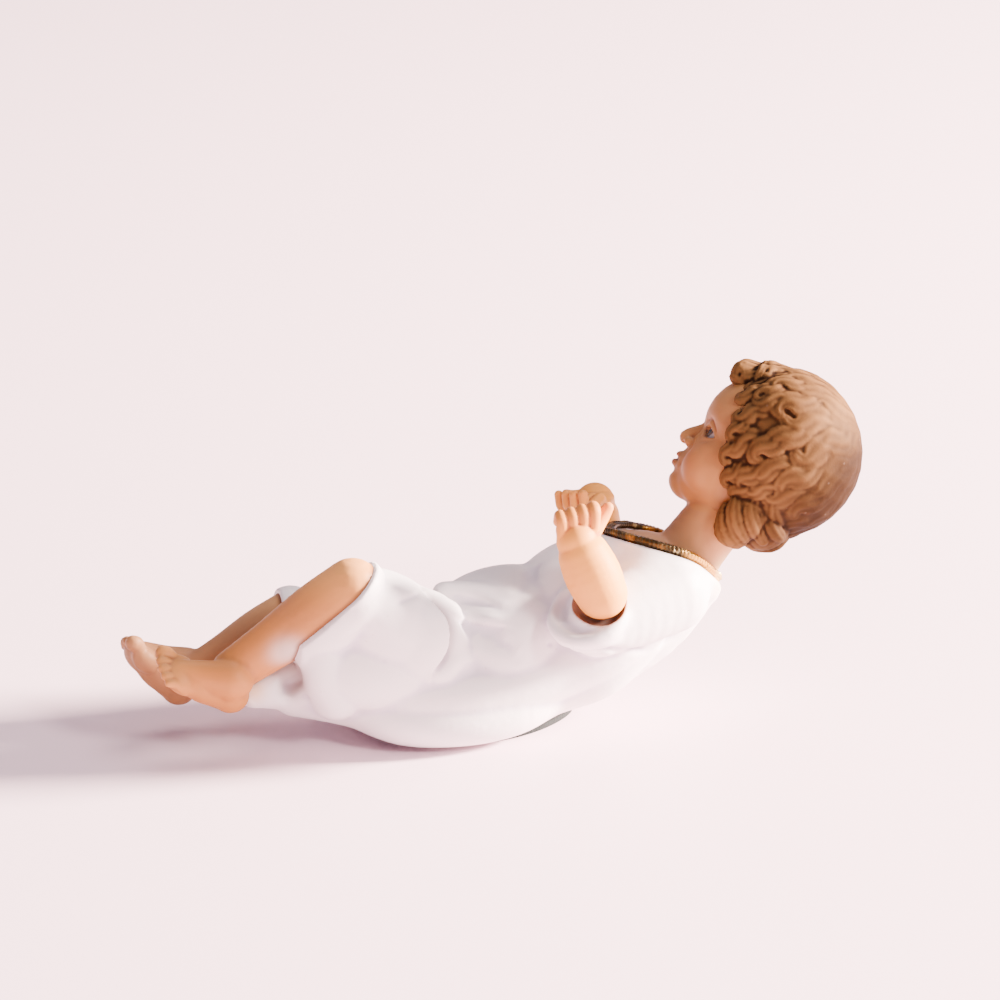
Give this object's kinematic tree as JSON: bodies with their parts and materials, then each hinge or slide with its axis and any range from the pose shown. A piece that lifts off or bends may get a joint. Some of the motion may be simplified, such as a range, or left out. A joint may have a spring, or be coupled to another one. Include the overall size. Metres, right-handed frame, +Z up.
{
  "type": "infant figurine",
  "caption": "Painted cast figurine of an infant lying on its back in a white gown, head and hands raised, resting on a felt pad.",
  "frame": {"origin": "middle of the felt pad's underside, on the surface the figure rests on", "axes": "+X runs from the feet to the head, +Z is up, and the figure's left side is towards -Y"},
  "size_m": [0.1509, 0.0502, 0.0712],
  "materials": {
    "infant_figure": "painted, matt",
    "left_forearm": "painted, matt",
    "right_forearm": "painted, matt",
    "felt_pad": "felt"
  },
  "bodies": {
    "root": {"infant_figure": "infant_figure", "left_forearm": "left_forearm", "right_forearm": "right_forearm", "felt_pad": "felt_pad"}
  },
  "joints": []
}
